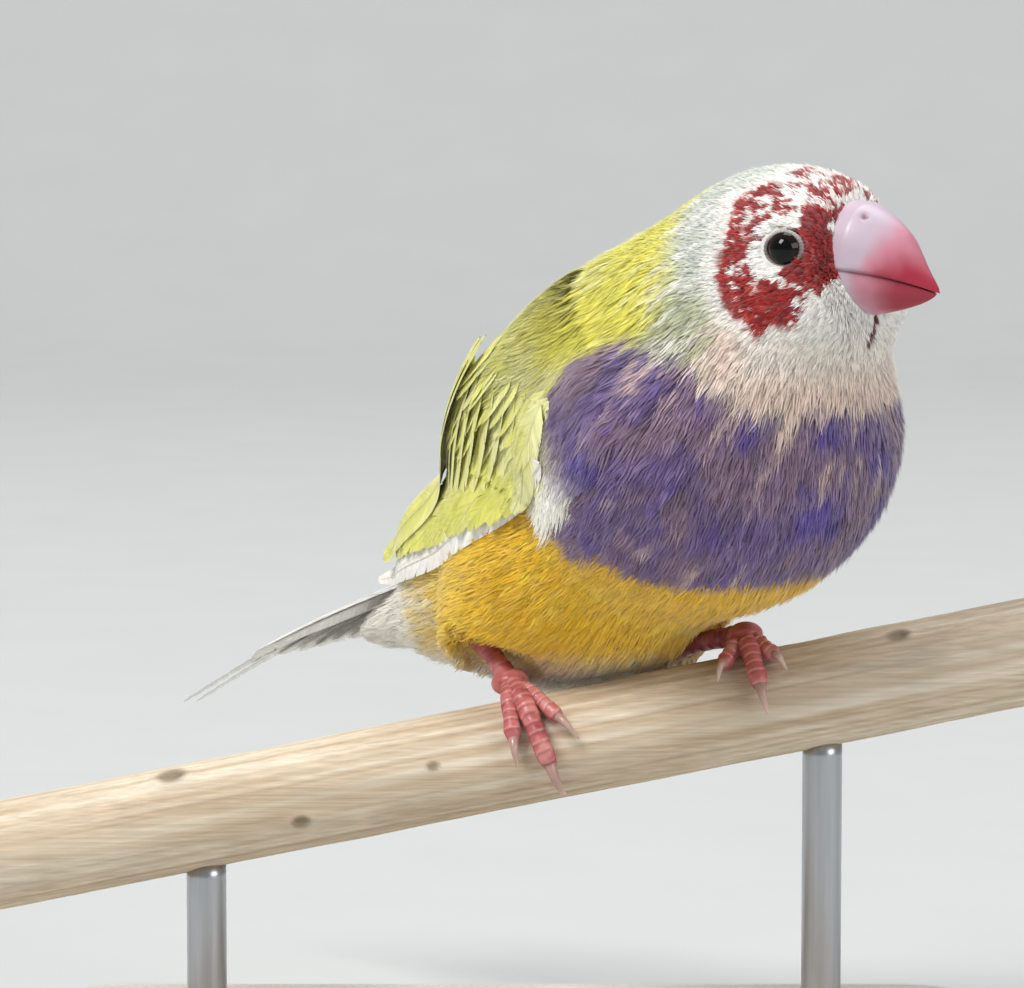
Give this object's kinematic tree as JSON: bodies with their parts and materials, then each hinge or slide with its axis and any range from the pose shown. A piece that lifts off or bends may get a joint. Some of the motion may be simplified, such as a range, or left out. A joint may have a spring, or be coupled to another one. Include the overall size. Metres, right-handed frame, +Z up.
{
  "type": "gouldian finch model",
  "caption": "Life-size still model of a gouldian finch gripping a short cut length of perch, held on a plain display stand.",
  "frame": {"origin": "middle of the stand base's underside", "axes": "+Z up, X along the perch, which rises towards +X, and the toes come round the perch towards -Y"},
  "size_m": [0.11, 0.1016, 0.0957],
  "materials": {
    "plumage_yellow": "matte feathers, yellow-green above and golden below",
    "plumage_nape": "matte feathers, pale grey-green to beige",
    "plumage_face": "matte short feathers, white mottled with dark red",
    "plumage_white": "matte white feathers",
    "bill": "smooth horn, pale lilac to pink-red",
    "eye": "wet gloss black",
    "foot_skin": "scaled pink skin with pale horn claws",
    "perch_wood": "bare weathered wood",
    "stand_rod": "satin",
    "stand_base": "matte warm grey"
  },
  "bodies": {
    "root": {"bill_lower": "bill", "bill_upper": "bill", "eye_left": "eye", "eye_right": "eye", "head": "plumage_face", "leg_left": "foot_skin", "leg_right": "foot_skin", "neck": "plumage_nape", "perch": "perch_wood", "stand_base": "stand_base", "stand_rod_left": "stand_rod", "stand_rod_right": "stand_rod", "tail": "plumage_white", "thigh_left": "plumage_white", "thigh_right": "plumage_white", "torso": "plumage_yellow", "wing_left": "plumage_yellow", "wing_right": "plumage_yellow"}
  },
  "joints": []
}
